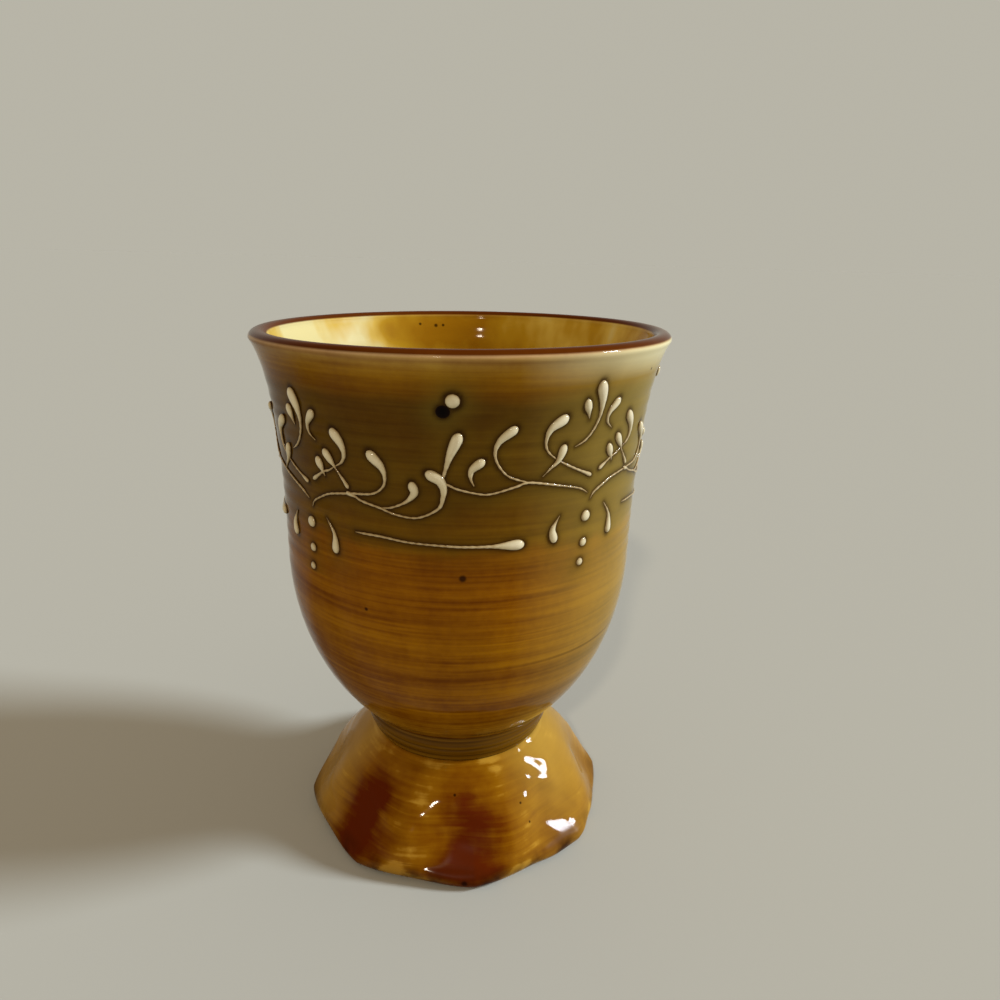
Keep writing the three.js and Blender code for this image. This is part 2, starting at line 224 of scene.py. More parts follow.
# Routes of the strokes, head first, in degrees from the spray's middle and mm below the rim
strokes = {
    "scroll": [
        ("bud", [(23.3, 17.1), (26, 19.2), (26.8, 21.3), (26, 23.1), (22.8, 24.5), cross, branch,
                 (4.6, 26.7), (1.4, 27.9), (0.2, 29.2)]),
        ("full", [(39, 20.5), (41.2, 21.5), (42.2, 23), (42.1, 24.8), (40.8, 27), (35.5, 28.7),
                  (29.8, 28.3), lowerLeaf, (19.6, 26.1), cross]),
        ("full", [(45.7, 13.8), (43.9, 16.8), (42.7, 19.6), (42.1, 21.3), (42, 22.8)]),
        ("line", [(41.7, 21.9), (43.6, 22.5), (45.8, 23.3), upperLeaf, (54.3, 24.6), (60.8, 23.7), shoot,
                  (72.3, 24.5), (80.3, 26.2), (83.9, 27.7)]),
        ("slim", [(59.3, 12.9), (56.1, 14.7), (55, 16.8), (56, 19.2), (59, 21.6), shoot]),
        ("leaf", [(51.5, 18.5), (49.3, 19.8), (49.1, 21.4), (50, 22.9)]),
        ("leaf", [(34.2, 22.6), (34.6, 24), (32.3, 25.7), (28.3, 26.9), lowerLeaf]),
        ("bud", [(12.4, 13.5), (14.2, 15.2), (15, 17.2), (14, 18.9), fork]),
        ("leaf", [(8.6, 17.5), (9.9, 18.7), fork, (12.1, 21)]),
        ("tip", [(15.2, 23.6), (14.2, 22.6), (12.6, 21.2), fork]),
        ("leaf", [(5.3, 19.3), (6, 20.3), tendril, (7.3, 22.3)]),
        ("tip", [(2.6, 23.1), tendril, (9, 20.9), fork]),
        ("tip", [(15.2, 24.9), (17.6, 25.4), (19.6, 26.1)]),
    ],
    "left_sprig": [
        ("bud", [(-11.5, 12.6), (-14.5, 14.2), (-15.5, 16.6), (-14.6, 18.6), leftFork]),
        ("leaf", [(-10.5, 18.2), leftFork, (-13.6, 21.8), (-15.6, 23.3)]),
        ("tip", [(-1.2, 24), (-7, 22.1), leftFork]),
    ],
    "crown_bud": [("crown", [(-1.9, 6.9), (-0.7, 9.6), (-0.5, 12.4), (-1.8, 15), (-4.2, 17), (-7.2, 18.1)])],
    "left_leaf": [("leaf", [(-5.3, 9.9), (-4.5, 11.6), (-3.9, 13.1)])],
    "right_leaf": [("leaf", [(5.1, 10.2), (2.8, 12.2), (2.8, 14), (5, 15.4)])],
    "dash": [("bud", [(62.6, 35.2), (53.8, 34.9), (46.8, 34.6), (39.8, 34.1), (32.3, 33.6), (24.8, 32.8),
                      (16.8, 32.5)])],
    "left_drop": [("leaf", [(-11, 36), (-11.5, 34), (-9.6, 31.4)])],
    "right_drop": [("leaf", [(9.4, 36.9), (9.1, 33.7), (6.2, 30.7)])],
}
# Pearls under the spray: degrees, mm below the rim and half width
pearls = {"large_pearl": (-0.9, 32.5, 1.15), "middle_pearl": (-1, 38, 0.9), "small_pearl": (-1.7, 42.1, 0.8)}


# Place within a spray: angles stretch to the next spray, and drops slope towards it
def sprayPlace(index, points):
    here, following = trail["sprays"][index], trail["sprays"][(index + 1) % len(trail["sprays"])]
    angle, drop = np.moveaxis(np.asarray(points, float), -1, 0)
    share = angle / trail["pitch"]
    turn = here[0] + share * ((following[0] - here[0]) % 360)
    return np.stack([turn, drop + here[1] + share * (following[1] - here[1])], -1)


# Smooth line through the points: each span is a cubic whose end slopes are half the step between neighbours
def smoothLine(points, count=24):
    padded = np.concatenate([points[:1], points, points[-1:]])
    p0, p1, p2, p3 = (padded[i:len(padded) - 3 + i, None] for i in range(4))
    t = np.linspace(0, 1, count, endpoint=False)[None, :, None]
    out, into = (p2 - p0) / 2, (p3 - p1) / 2
    cubic, square = 2 * p1 - 2 * p2 + out + into, 3 * p2 - 3 * p1 - 2 * out - into
    line = cubic * t ** 3 + square * t ** 2 + out * t + p1
    return np.concatenate([line.reshape(-1, 2), points[-1:]])


# Stations along one stroke: angle and drop, and half width. The head is a long drop, the width falls off
# behind it as a bell curve to the thin line, which wavers a little and ends in a point.
def strokeStations(index, kind, route):
    head, fade = trail["kinds"][kind]
    line = trail["line"]
    scale = np.array([math.radians(bowl["bodyRadius"]), 1])
    flat = sprayPlace(index, route) * scale
    ahead = flat[0] - flat[1]
    fine = smoothLine(np.concatenate([[flat[0] + ahead / np.linalg.norm(ahead) * head], flat]))
    run = np.concatenate([[0], np.cumsum(np.linalg.norm(np.diff(fine, axis=0), axis=1))])
    length = run[-1]
    nose, point = head * trail["noseStretch"], trail["pointHalf"]
    ends = 1 - np.cos(np.linspace(0, math.pi / 2, trail["endSteps"]))
    even = np.arange(nose, length - point, trail["step"])
    mark = np.unique(np.concatenate([nose * ends, even, length - point * ends]).round(3))
    spot = np.stack([np.interp(mark, run, fine[:, i]) for i in (0, 1)], -1)
    left = np.exp(-(np.clip(mark - nose, 0, None) / fade) ** trail["fadePower"])
    wave = np.sin(mark * 2 * math.pi / trail["waverPitch"] + route[0][0])
    beat = wave * np.sin(trail["waverBeat"] * mark + index)
    half = line * (1 + trail["waver"] * beat) * (1 - left) + head * left
    half = np.minimum(half, point + (half - point) * np.clip((length - mark) / trail["point"], 0, 1))
    front = np.clip(1 - mark / nose, 0, 1)
    back = np.clip(1 - (length - mark) / point, 0, 1)
    return spot / scale, half * np.sqrt((1 - front ** 2) * (1 - back ** 2))


# Skin of one stroke: an oval section carried along the route, its lower half sunk in the wall
def strokeMesh(name, spot, half):
    place, normal = wallSpot(spot[:, 0], spot[:, 1])
    side = np.cross(normal, np.gradient(place, axis=0))
    side /= np.linalg.norm(side, axis=1, keepdims=True)
    turn = np.linspace(0, 2 * math.pi, trail["section"], endpoint=False)
    rise = np.minimum(half, trail["lineRise"] + trail["domeRise"] * (half - trail["line"]))
    up = np.where(np.sin(turn) > 0, rise[:, None], np.minimum(trail["sunk"], half)[:, None]) * np.sin(turn)
    across = half[:, None] * np.cos(turn)
    grid = place[:, None] + side[:, None] * across[..., None] + normal[:, None] * up[..., None]
    return gridMesh(name, grid, {"crown": up})


# Bead: an oval dome over the wall, by polar angle and turn, with its underside sunk in it
def beadMesh(name, spot, half, rise):
    place, normal = wallSpot(*spot)
    flat = np.array([normal[1], -normal[0], 0]) / np.hypot(normal[0], normal[1])
    upright = np.cross(normal, flat)
    polar = np.linspace(0, math.pi, trail["beadRows"])[:, None]
    turn = np.linspace(0, 2 * math.pi, trail["beadSection"], endpoint=False)
    up = np.where(polar < math.pi / 2, rise, trail["sunk"]) * np.cos(polar) + 0 * turn
    reach = half * np.sin(polar)[..., None]
    circle = np.cos(turn)[:, None] * flat - np.sin(turn)[:, None] * upright
    return gridMesh(name, place + up[..., None] * normal + reach * circle, {"crown": up})


lines, beads = {}, {}
for index, (_, _, dotAngle, dotSide) in enumerate(trail["sprays"]):
    for name, routes in strokes.items():
        lines[f"{name}_{index + 1}"] = [strokeStations(index, kind, route) for kind, route in routes]
    for name, (angle, drop, half) in pearls.items():
        beads[f"{name}_{index + 1}"] = (sprayPlace(index, (angle, drop)), half)
    blackAngle = dotAngle + dotSide * trail["dotStep"]
    beads[f"white_dot_{index + 1}"] = (sprayPlace(index, (dotAngle, trail["whiteDrop"])), trail["dotHalf"])
    beads[f"black_dot_{index + 1}"] = (sprayPlace(index, (blackAngle, trail["blackDrop"])), trail["dotHalf"])
print("trailed routes:", len(lines), "strokes or groups and", len(beads), "beads")


# Bowl's profile from the spigot's middle, up the outer wall, over the lip and down to the floor's middle:
# radius, height and how far inside. Points close to an edge keep its shading crisp.
def bowlProfile():
    spigot, edge = bowl["spigot"], bowl["spigotEdge"]
    seat = bowl["seatRadius"] - bowl["groove"]
    spigotBase = mug["footHeight"] - bowl["crownDepth"]
    startHeight = bowlBase + bowl["groove"]
    startRadius = float(outerWall(np.array(startHeight))[0])
    under = np.array([(0, spigotBase), (spigot / 2, spigotBase), (spigot - edge, spigotBase),
                      (spigot, spigotBase + edge), (spigot, collarBase), (spigot, bowlBase),
                      *((seat - inset, bowlBase) for inset in bowl["seatInset"])])
    pull = (startRadius, bowlBase + bowl["chamferPull"])
    chamfer = bowed((seat, bowlBase), pull, (startRadius, startHeight), bowl["chamferRows"])[:-1]
    bandBase = rimHeight - bowl["bandBottom"]
    low = np.arange(startHeight, bandBase, bowl["lowStep"])
    heights = np.concatenate([low, np.arange(bandBase, lipBase, bowl["bandStep"])])
    outer = np.stack([outerWall(heights)[0], heights], -1)
    turn = np.linspace(0, math.pi, bowl["lipRows"])
    lip = np.stack([bowl["rimRadius"] - bowl["lip"] / 2 * (1 - np.cos(turn)),
                    lipBase + bowl["lipCrown"] * np.sin(turn)], -1)
    inner = bowl["bodyRadius"] - bowl["wall"]
    down = bowed((bowl["rimRadius"] - bowl["lip"], lipBase), (inner, kneeHeight), (inner, wallBase),
                 bowl["insideRows"])[1:]
    turn = np.linspace(0, math.pi / 2, bowl["floorRows"])[1:]
    depth = wallBase - bowlBase - bowl["floor"]
    base = np.stack([inner * np.cos(turn), wallBase - depth * np.sin(turn)], -1)
    base[-1, 0] = 0
    outside = len(under) + len(chamfer) + len(outer)
    inside = np.concatenate([np.zeros(outside), np.linspace(0, 1, len(lip)), np.ones(len(down) + len(base))])
    return np.concatenate([under, chamfer, outer, lip, down, base]), inside


# How near the trailed slip is, for a grid of wall points: 1 at its edge, falling off with the gap over the
# spread. The wall is taken in blocks of columns, each with the slip that lies close to it.
def nearSlip(points, spots, halves, spreads, blocks=26, close=16, farAway=99.0):
    centres = wallSpot(spots[:, 0], spots[:, 1])[0]
    gap = np.full(points.shape[:2], farAway)
    for block in np.array_split(np.arange(points.shape[1]), blocks):
        middle = points[:, block].reshape(-1, 3).mean(0)
        near = np.hypot(*(centres - middle)[:, :2].T) < close
        if near.any():
            apart = np.linalg.norm(points[:, block][:, :, None] - centres[near], axis=-1) - halves[near]
            gap[:, block] = apart.min(-1)
    return [np.exp(-(np.clip(gap, 0, None) / spread) ** bowl["haloPower"]) for spread in spreads]


# Bowl: its profile turned round the axis. Throwing rings are a drifting sine of the height inside and out,
# the mouth is slightly oval by a sine of twice the angle, and the rim isn't quite level.
def makeBowl(material):
    profile, inside = bowlProfile()
    radius, height = profile[:, :1], profile[:, 1:]
    inside = inside[:, None]
    drop = rimHeight - height
    angle = np.linspace(0, 2 * math.pi, bowl["around"], endpoint=False)
    much, slow = bowl["ringDrift"]
    ring = np.sin(2 * math.pi * height / bowl["ringPitch"] + much * np.sin(height * slow))
    depth = np.where(inside > 0.99, bowl["insideRing"], bowl["ringDepth"])
    depth = depth * ease(drop, *bowl["ringDrop"]) * ease(radius, *bowl["ringReach"])
    fade = bowl["ringFade"]
    shift = ring * depth * (1 - fade + fade * np.sin(angle * 2 + height * bowl["ringTwist"]))
    oval = bowl["wobble"] * np.sin(2 * angle + bowl["wobbleTurn"])
    shift = shift + oval * ease(height, bowlBase, rimHeight)
    grid = turned(np.where(radius > 0, radius + shift, 0), height + rimLift(angle, height), angle)
    # How near the slip and its dots are, for the rows of the decorated band
    banded = (drop > bowl["haloFrom"]) & (drop < bowl["bandBottom"]) & (inside < 0.01)
    rows = np.flatnonzero(banded)
    everyLine = [line for group in lines.values() for line in group]
    wider = {bowl["ringed"]: bowl["ring"]}
    everyBead = [(spot, half + wider.get(name, 0)) for name, (spot, half) in beads.items()]
    spots = np.concatenate([spot for spot, _ in everyLine] + [spot[None] for spot, _ in everyBead])
    halves = np.concatenate([half for _, half in everyLine] + [[half] for _, half in everyBead])
    dots = [bead for name, bead in beads.items() if "dot" in name]
    dotSpots, dotHalves = np.array([spot for spot, _ in dots]), np.array([half for _, half in dots])
    halo, glow, haze = np.zeros((3, *grid.shape[:2]))
    # The dark edge beside the slip is partly pooled glaze and partly painted shade
    halo[rows], glow[rows] = nearSlip(grid[rows], spots, halves, (bowl["halo"], bowl["glow"]))
    haze[rows] = nearSlip(grid[rows], dotSpots, dotHalves, (bowl["haze"],))[0]
    values = {"halo": halo, "glow": glow, "haze": haze, "inside": inside, "drop": drop}
    piece("bowlBody", [gridMesh("bowlBody", grid, values)], material, "bowl")


# Iron specks on the bowl, in degrees round and mm below the rim with their half sizes, or at places in mm;
# one amber stain inside; and a dark brush line low on the right of the front
marks = dict(
    specks=[(4, 42.5, 0.75), (-24, 51, 0.4), (62, 5.2, 0.35)],
    innerSpecks=[(-13.4, 37.9, 116, 0.4), (-9.3, 39, 115.6, 0.5), (-7.4, 39.4, 115.7, 0.4)],
    speckColor="#1c0802", speckSoft=(1.2, 0.6), speckDepth=0.85,
    stain=(-15, 36.5, 114.5), stainReach=(12, 12, 4.5), stainDepth=0.16,
    lineDrop=63, lineHalf=0.3, lineFrom=3, lineTo=28, lineDepth=0.35, lineColor="#2e1402",
)


# Colour with dark iron specks laid over it: each is a place in mm and a half size
def addSpecks(tree, place, color, spots):
    rimShare, coreShare = marks["speckSoft"]
    for x, y, z, half in spots:
        apart = addNode(tree, "VectorMath", {0: place, 1: (x * mm, y * mm, z * mm)}, operation="DISTANCE")
        dark = addNode(tree, "MapRange", {"Value": apart.outputs["Value"], "From Min": half * mm * rimShare,
                                          "From Max": half * mm * coreShare, "To Max": marks["speckDepth"]})
        color = addNode(tree, "Mix", {0: dark, 6: color, 7: hexColor(marks["speckColor"])},
                        data_type="RGBA").outputs[2]
    return color


# Honey glaze: sizes of its marks in mm along x, y and z, shares of each, where its layers fade in across the
# mug and down from the rim in mm, and colours by mm below the rim
honey = dict(
    broad=(50, 50, 4), fine=(40, 40, 0.8), runs=(6.25, 6.25, 83.3), clouds=14.3, grain=1.43,
    fineShare=0.4, runShare=0.14, grainShare=0.1, streak=(0.6, 1.4), cloud=(0.65, 1.35), wander=2,
    oliveStreak=0.65, oliveEnd=(28, 40), warmth=1.4, zoneSpan=90, noise=(0.3, 0.7), streaked=(0.39, 0.61),
    across=dict(right=(12, 44), left=(-12, -42), insideLeft=(-8, -20)),
    downward=dict(free=(3, 20), lipEdge=(0.85, 1.2), insideEdge=(0.7, 1), paleEdge=(7, 3)),
    zones=[(0, "#532704"), (0.85, "#532704"), (1.05, "#b28e65"), (1.35, "#9c7a46"), (2.2, "#9a7432"),
           (3.6, "#936a1c"), (4.9, "#855b0d"), (7.2, "#724906"), (9.6, "#543809"), (27, "#553808"),
           (31, "#5f3e07"), (36, "#684305"), (38, "#7a4703"), (60, "#7f4e03"), (78, "#7f4e04"),
           (84, "#8e6110"), (88.5, "#4a2303")],
    # Painted light: a yellow colour on the lit right side and a pale painted highlight under the rim there
    thick=(0.3, "#4f2a03"), thin=(0.65, "#a5924a"), pale=(0.85, "#e4dcae"), glow=(0.35, "#5f4d10"),
    # The dark colour at the slip's edge is partly pooled glaze and partly painted shade
    haze=(0.4, "#6a5c22"), halo=(0.85, "#261103"),
    insideRuns=(22.2, 22.2, 40), insideLip="#552604", insideDull=0.3,
    insideRamp=[(0.38, "#cdc084"), (0.48, "#c2a245"), (0.57, "#a9811a"), (0.72, "#8f620c")],
)


# Honey glaze over pale clay, dipped and brushed: a brown iron rim, thin cream under it, an amber band, olive
# where a copper wash lies under the slip, and streaky honey below. It is dark beside the trailed slip, partly
# where it pools and partly as painted shade, with painted light in yellow and pale colours on the right.
def honeyGlaze():
    material, tree, shader = startMaterial("honeyGlaze", bowl["roughness"], bowl["gloss"])
    place = addNode(tree, "TexCoord").outputs["Object"]
    x, y, z = addNode(tree, "SeparateXYZ", {0: place}).outputs
    drop, inside, halo, glow, haze = (addNode(tree, "Attribute", attribute_name=name).outputs["Fac"]
                                      for name in ("drop", "inside", "halo", "glow", "haze"))
    across = {key: addNode(tree, "MapRange", {"Value": x, "From Min": low * mm, "From Max": high * mm})
              for key, (low, high) in honey["across"].items()}
    downward = {key: addNode(tree, "MapRange", {"Value": drop, "From Min": low, "From Max": high})
                for key, (low, high) in honey["downward"].items()}
    # Broad and fine brush marks run round the mug, faint runs go down it, clouds and a grain are all over
    broad, fine, fall = (addNode(tree, "Mapping", {"Vector": place, "Scale": patternScale(*honey[key])})
                         for key in ("broad", "fine", "runs"))
    broadNoise = addNode(tree, "TexNoise", {"Vector": broad, "Scale": 1.0, "Detail": 4.0, "Distortion": 0.4})
    fineNoise = addNode(tree, "TexNoise", {"Vector": fine, "Scale": 1.0, "Detail": 3.0, "Distortion": 0.3})
    fallNoise = addNode(tree, "TexNoise", {"Vector": fall, "Scale": 1.0, "Detail": 1.0})
    mottle = addNode(tree, "TexNoise", {"Vector": place, "Scale": 1 / (honey["clouds"] * mm), "Detail": 5.0})
    grain = addNode(tree, "TexNoise", {"Vector": place, "Scale": 1 / (honey["grain"] * mm), "Detail": 3.0})
    # Edges of the zones wander by a few mm, and the rim's edge hardly at all
    low, high = honey["noise"]
    wander = addNode(tree, "MapRange", {"Value": mottle, "From Min": low, "From Max": high,
                                        "To Min": -honey["wander"], "To Max": honey["wander"]})
    level = addNode(tree, "Math", {0: wander, 1: downward["free"], 2: drop}, operation="MULTIPLY_ADD")
    share = addNode(tree, "Math", {0: level, 1: honey["zoneSpan"]}, operation="DIVIDE")
    outer = addNode(tree, "ValToRGB", {"Fac": share},
                    stops=[(depth / honey["zoneSpan"], code) for depth, code in honey["zones"]])
    # Streaks darken and lighten the honey, clouds the olive band; light places are yellower
    tone = addNode(tree, "Mix", {0: honey["fineShare"], 2: broadNoise, 3: fineNoise})
    drift = addNode(tree, "Mix", {0: honey["runShare"], 2: tone, 3: fallNoise})
    grained = addNode(tree, "Mix", {0: honey["grainShare"], 2: drift, 3: grain})
    streak = addNode(tree, "MapRange", {"Value": grained, "From Min": honey["streaked"][0],
                                        "From Max": honey["streaked"][1],
                                        "To Min": honey["streak"][0], "To Max": honey["streak"][1]})
    cloud = addNode(tree, "MapRange", {"Value": mottle, "From Min": low, "From Max": high,
                                       "To Min": honey["cloud"][0], "To Max": honey["cloud"][1]})
    bare = addNode(tree, "MapRange", {"Value": drop, "From Min": honey["oliveEnd"][0],
                                      "From Max": honey["oliveEnd"][1], "To Min": honey["oliveStreak"]})
    factor = addNode(tree, "Mix", {0: bare, 2: cloud, 3: streak})
    warm = addNode(tree, "Math", {0: factor, 1: honey["warmth"]}, operation="POWER")
    tint = addNode(tree, "CombineXYZ", {0: factor, 1: warm, 2: warm})
    color = addNode(tree, "VectorMath", {0: outer, 1: tint}, operation="MULTIPLY").outputs[0]
    # Darker on the left, painted light on the right in yellow and as a pale painted highlight under the rim
    # there, greener near the slip, hazy round the dots, and dark at the slip's edge, partly pooled glaze,
    # partly painted shade
    thin = addNode(tree, "Math", {0: across["right"], 1: downward["lipEdge"]}, operation="MULTIPLY")
    pale = addNode(tree, "Math", {0: thin, 1: downward["paleEdge"]}, operation="MULTIPLY")
    layers = dict(thick=across["left"], thin=thin, pale=pale, glow=glow, haze=haze, halo=halo)
    for key, amount in layers.items():
        most, code = honey[key]
        scaled = addNode(tree, "Math", {0: amount, 1: most}, operation="MULTIPLY")
        color = addNode(tree, "Mix", {0: scaled, 6: color, 7: hexColor(code)}, data_type="RGBA").outputs[2]
    # Inside, pale yellow with amber runs that are heavier on one side
    stretch = addNode(tree, "Mapping", {"Vector": place, "Scale": patternScale(*honey["insideRuns"])})
    runs = addNode(tree, "TexNoise", {"Vector": stretch, "Scale": 1.0, "Detail": 4.0})
    heavy = addNode(tree, "MapRange", {"Value": x, "From Min": -30 * mm, "From Max": 10 * mm,
                                       "To Min": -0.11, "To Max": 0.14})
    cover = addNode(tree, "Math", {0: runs, 1: heavy}, operation="ADD")
    # One amber stain hangs from the rim at the back
    middle, size = (tuple(value * mm for value in marks[key]) for key in ("stain", "stainReach"))
    centre = addNode(tree, "VectorMath", {0: place, 1: middle}, operation="SUBTRACT")
    reach = addNode(tree, "VectorMath", {0: centre, 1: size}, operation="DIVIDE")
    away = addNode(tree, "VectorMath", {0: reach}, operation="LENGTH").outputs["Value"]
    stain = addNode(tree, "MapRange", {"Value": away, "From Min": 1.3, "From Max": 0.6,
                                       "To Max": marks["stainDepth"]})
    stained = addNode(tree, "Math", {0: cover, 1: stain}, operation="ADD")
    inner = addNode(tree, "ValToRGB", {"Fac": stained}, stops=honey["insideRamp"])
    innerAll = addNode(tree, "Mix", {0: downward["insideEdge"], 6: hexColor(honey["insideLip"]), 7: inner},
                       data_type="RGBA")
    color = addNode(tree, "Mix", {0: inside, 6: color, 7: innerAll.outputs[2]}, data_type="RGBA").outputs[2]
    # The brush line fades in towards the right, on the front only
    lineHeight = (rimHeight - marks["lineDrop"]) * mm
    on = addNode(tree, "Math", {0: z, 1: lineHeight, 2: marks["lineHalf"] * mm}, operation="COMPARE")
    along = addNode(tree, "MapRange", {"Value": x, "From Min": marks["lineFrom"] * mm,
                                       "From Max": marks["lineTo"] * mm, "To Max": marks["lineDepth"]})
    front = addNode(tree, "MapRange", {"Value": y, "From Min": -4 * mm, "From Max": -20 * mm})
    both = addNode(tree, "Math", {0: on, 1: front}, operation="MULTIPLY")
    line = addNode(tree, "Math", {0: both, 1: along}, operation="MULTIPLY")
    color = addNode(tree, "Mix", {0: line, 6: color, 7: hexColor(marks["lineColor"])},
                    data_type="RGBA").outputs[2]
    spots = [(*wallSpot(angle, deep)[0], half) for angle, deep, half in marks["specks"]]
    color = addSpecks(tree, place, color, spots + marks["innerSpecks"])
    tree.links.new(color, shader.inputs["Base Color"])
    # The glaze is duller on the left of the inside
    left = addNode(tree, "Math", {0: across["insideLeft"], 1: honey["insideDull"]}, operation="MULTIPLY")
    dull = addNode(tree, "Math", {0: left, 1: inside, 2: bowl["roughness"]}, operation="MULTIPLY_ADD")
    tree.links.new(dull.outputs[0], shader.inputs["Roughness"])
    bump = addNode(tree, "Bump", {"Strength": 0.05, "Distance": 0.4 * mm, "Height": tone})
    tree.links.new(bump.outputs[0], shader.inputs["Normal"])
    return material


makeBowl(honeyGlaze())
print("bowl made")

# Collar in mm. Its grooves and pools are placed by shares of the way up its face.
collar = dict(
    lower=21.6, upper=23.6, groove=0.9, bulge=0.3, rounding=1.4, bore=12.3, around=320, faceRows=41,
    sideRows=6, grooves=(0.3, 0.52, 0.76), grooveWidth=0.035, grooveDepth=0.14, groovePool=0.45,
    poolLow=0.16, poolHigh=0.82, wobble=0.06, wobbleWave=(3, 0.5), turning=(40, 40, 1.43),
    gloss=0.08, roughness=0.12, poolColor="#231003",
    ramp=[(0.3, "#4d3104"), (0.5, "#634107"), (0.7, "#7b5610")],
)


# Collar's section: a cubic that bows softly outward from the lower groove to the upper one, closed round the
# bore. Three turned lines, bell curves of the height, run round it.
def makeCollar(material):
    low, high = collar["lower"], collar["upper"]
    t = np.linspace(0, 1, collar["faceRows"])[:, None]
    start, end = np.array([low - collar["groove"], collarBase]), np.array([high - collar["groove"], bowlBase])
    pull = np.array([low + collar["bulge"], collarBase + collar["rounding"]])
    draw = np.array([high + collar["bulge"], bowlBase - collar["rounding"]])
    face = (1 - t) ** 3 * start + 3 * t * (1 - t) ** 2 * pull + 3 * t ** 2 * (1 - t) * draw + t ** 3 * end
    cut = np.exp(-((t - np.array(collar["grooves"])) / collar["grooveWidth"]) ** 2).sum(1)
    face[:, 0] -= collar["grooveDepth"] * cut
    corners = [end, (collar["bore"], bowlBase), (collar["bore"], collarBase), start]
    runs = [np.linspace(a, b, collar["sideRows"])[1:] for a, b in zip(corners[:-1], corners[1:])]
    profile = np.concatenate([face, *runs])[:-1]
    angle = np.linspace(0, 2 * math.pi, collar["around"], endpoint=False)
    turns, slant = collar["wobbleWave"]
    onFace = profile[:, :1] > (collar["bore"] + low) / 2
    sway = collar["wobble"] * np.sin(turns * angle + profile[:, 1:] * slant) * onFace
    pool = np.zeros((len(profile), 1))
    ends = np.maximum(1 - ease(t, 0, collar["poolLow"]), ease(t, collar["poolHigh"], 1))
    pool[:len(t)] = ends + collar["groovePool"] * cut[:, None]
    grid = turned(profile[:, :1] + sway, profile[:, 1:], angle)
    mesh = gridMesh("neckCollar", grid, {"pool": pool}, wrapRows=True)
    piece("neckCollar", [mesh], material, "neck_collar")


# Olive glaze over turned clay: thin on the bow, dark brown in the grooves, with long turning marks
def oliveGlaze():
    material, tree, shader = startMaterial("oliveGlaze", collar["roughness"], collar["gloss"])
    place = addNode(tree, "TexCoord").outputs["Object"]
    pool = addNode(tree, "Attribute", attribute_name="pool").outputs["Fac"]
    stretch = addNode(tree, "Mapping", {"Vector": place, "Scale": patternScale(*collar["turning"])})
    streak = addNode(tree, "TexNoise", {"Vector": stretch, "Scale": 1.0, "Detail": 4.0})
    ramp = addNode(tree, "ValToRGB", {"Fac": streak}, stops=collar["ramp"])
    dark = addNode(tree, "Mix", {0: pool, 6: ramp, 7: hexColor(collar["poolColor"])}, data_type="RGBA")
    tree.links.new(dark.outputs[2], shader.inputs["Base Color"])
    return material


makeCollar(oliveGlaze())
print("collar made")

# Foot. Pools are degrees round, a width in degrees and a strength. The shares called poolTop, poolEnd and
# crestFrom run down the skirt.
foot = dict(
    neck=21.6, skirt=36.3, lipHeight=4.2, lipBulge=0.8, bow=2, stand=35.7, standWidth=6, crown=5.5, wall=5,
    rounding=2.5, groove=0.9, socket=12.3, edge=0.3, thumbs=8, thumbAngle=3, thumbDepth=2.4, hollowSkew=1.4,
    crest=1.7, lobeLead=7, lobeReach=0.9, lobeStart=0.5, uneven=0.28, unevenWave=(0.8, 19, 0.4),
    ripple=0.08, rippleWave=(11, 0.9, 3, 0.5), rippleFrom=(0.5, 3),
    around=480, skinRows=72, lipRows=18, hollowRows=24, roundRows=10, standRows=8, standInset=0.5,
    pools=[(9, 11, 0.95), (48, 11, 0.3), (93, 12, 0.6), (138, 12, 0.8), (183, 13, 0.9), (228, 12, 0.75),
           (278, 12, 0.9), (321, 12, 0.95)],
    poolTop=(0.05, 0.38), poolEnd=(0.8, 0.9), poolLoss=0.35, crease=1.2, creaseBelow=0.8, creasePool=0.6,
    crestFrom=(0.75, 0.9), crestThin=0.4,
    gloss=0.09, roughness=0.06, poolGloss=0.02, poolRoughness=0.3,
    specks=[(2, 17, 0.35), (33, 14, 0.3), (35, 10, 0.3), (6, 2, 0.7)],
)


# How far the skin moves and how deep the glaze pools. A hollow is a power of a cosine across and a squared
# sine down the skirt, and the second is uneven; below, the stand is pushed out to the corners of a soft
# octagon. Pools are bell curves round the foot, and the crease over the lip is one in height.
def thumbPress(angle, height):
    pitch = 2 * math.pi / foot["thumbs"]
    first = math.radians(foot["thumbAngle"])
    down = np.clip(1 - height / mug["footHeight"], 0, 1)
    across = np.abs(np.cos((angle - first) * foot["thumbs"] / 2))
    turn = np.mod(angle - math.radians(foot["thumbAngle"] + foot["lobeLead"]), pitch)
    straight = 2 * (2 * turn / pitch - 1) ** 2 - 1
    lobe = foot["lobeReach"] * (straight + np.cos(turn * foot["thumbs"])) / 2
    lobe = lobe * ease(down, foot["lobeStart"], 1)
    hollow = across ** foot["crest"] * np.sin(math.pi * down ** foot["hollowSkew"]) ** 2
    second = np.abs(np.mod(angle - first - pitch / 2, 2 * math.pi) - pitch / 2) < pitch / 2
    crease = np.exp(-((height - foot["lipHeight"] + foot["creaseBelow"]) / foot["crease"]) ** 2)
    filled = ease(down, *foot["poolTop"]) * (1 - foot["poolLoss"] * ease(down, *foot["poolEnd"]))
    thinned = foot["crestThin"] * (1 - across ** 2) * ease(down, *foot["crestFrom"])
    pool = foot["creasePool"] * crease * across - thinned
    for middle, width, strength in foot["pools"]:
        apart = np.mod(np.degrees(angle) - middle + 180, 360) - 180
        pool = pool + strength * filled * np.exp(-(apart / width) ** 2)
    rise, turns, slant = foot["unevenWave"]
    bumps = np.sin(rise * height) * np.sin(turns * angle + slant * height)
    uneven = foot["uneven"] * across * second * bumps
    return lobe - foot["thumbDepth"] * hollow + uneven, pool


